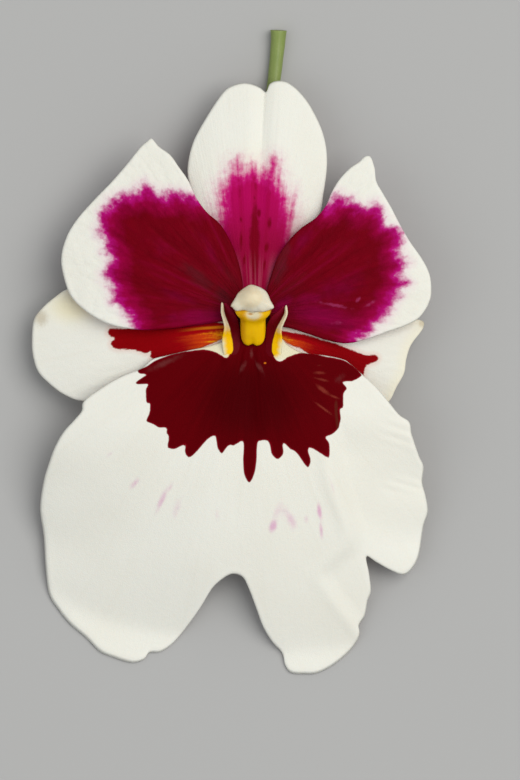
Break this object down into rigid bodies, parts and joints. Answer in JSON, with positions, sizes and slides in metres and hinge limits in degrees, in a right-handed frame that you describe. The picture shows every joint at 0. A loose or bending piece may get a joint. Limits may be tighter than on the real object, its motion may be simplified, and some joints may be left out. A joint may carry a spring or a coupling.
{
  "type": "pansy orchid bloom",
  "caption": "Pansy orchid bloom picked with its own stalk, lying on its back: sepals, petals and a broad two-lobed lip round a short column.",
  "frame": {"origin": "middle of the whole bloom's box, on the surface it lies on", "axes": "+Z out of the face of the bloom, +Y from the lip to the dorsal sepal and along the stalk, +X to the right of the bloom seen from the front"},
  "size_m": [0.0702, 0.1133, 0.0205],
  "materials": {
    "sepal_white": "matt, waxy white tissue with crimson marks",
    "petal_crimson": "matt, velvety crimson tissue with a white margin",
    "lip_white": "matt white tissue with a dark crimson mask",
    "column_yellow": "waxy yellow",
    "anther_cream": "waxy cream",
    "pollen_wax": "wax",
    "stalk_green": "smooth green stalk"
  },
  "bodies": {
    "root": {"stalk_with_ovary": "stalk_green", "dorsal_sepal": "sepal_white", "lateral_sepal_left": "sepal_white", "lateral_sepal_right": "sepal_white", "petal_left": "petal_crimson", "petal_right": "petal_crimson", "lip": "lip_white", "column": "column_yellow", "pollinarium": "pollen_wax", "anther_cap": "anther_cream"}
  },
  "joints": []
}
